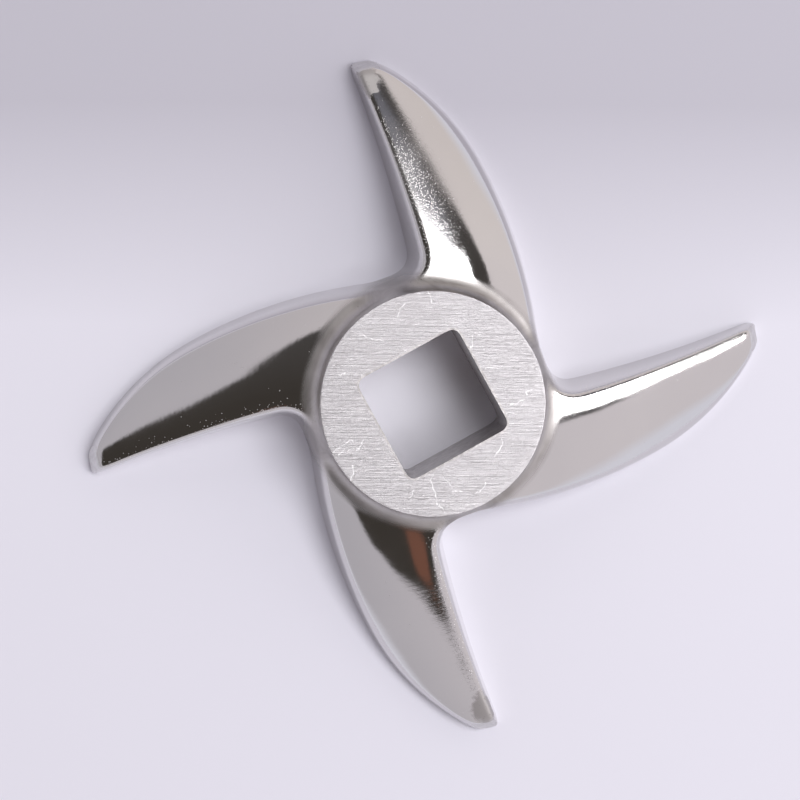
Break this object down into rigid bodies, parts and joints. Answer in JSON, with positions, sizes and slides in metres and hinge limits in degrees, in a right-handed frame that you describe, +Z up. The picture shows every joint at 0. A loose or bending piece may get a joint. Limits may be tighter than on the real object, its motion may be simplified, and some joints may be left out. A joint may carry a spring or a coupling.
{
  "type": "meat grinder knife",
  "caption": "Rotary meat grinder knife, size 32: curved swept-back cutting arms around a round boss with a square drive hole, flat underside, cast stainless steel.",
  "frame": {"origin": "centre of the square drive bore, on the flat ground cutting face", "axes": "+Z up through the boss, away from the cutting face; +X and +Y square to the flats of the bore, and nearly along the leading edges of two arms"},
  "size_m": [0.0896, 0.0896, 0.014],
  "materials": {
    "stainless": "cast stainless steel, tumbled and polished to a mirror on the arms, brushed flat on the boss face"
  },
  "bodies": {
    "root": {"knife": "stainless"}
  },
  "joints": []
}
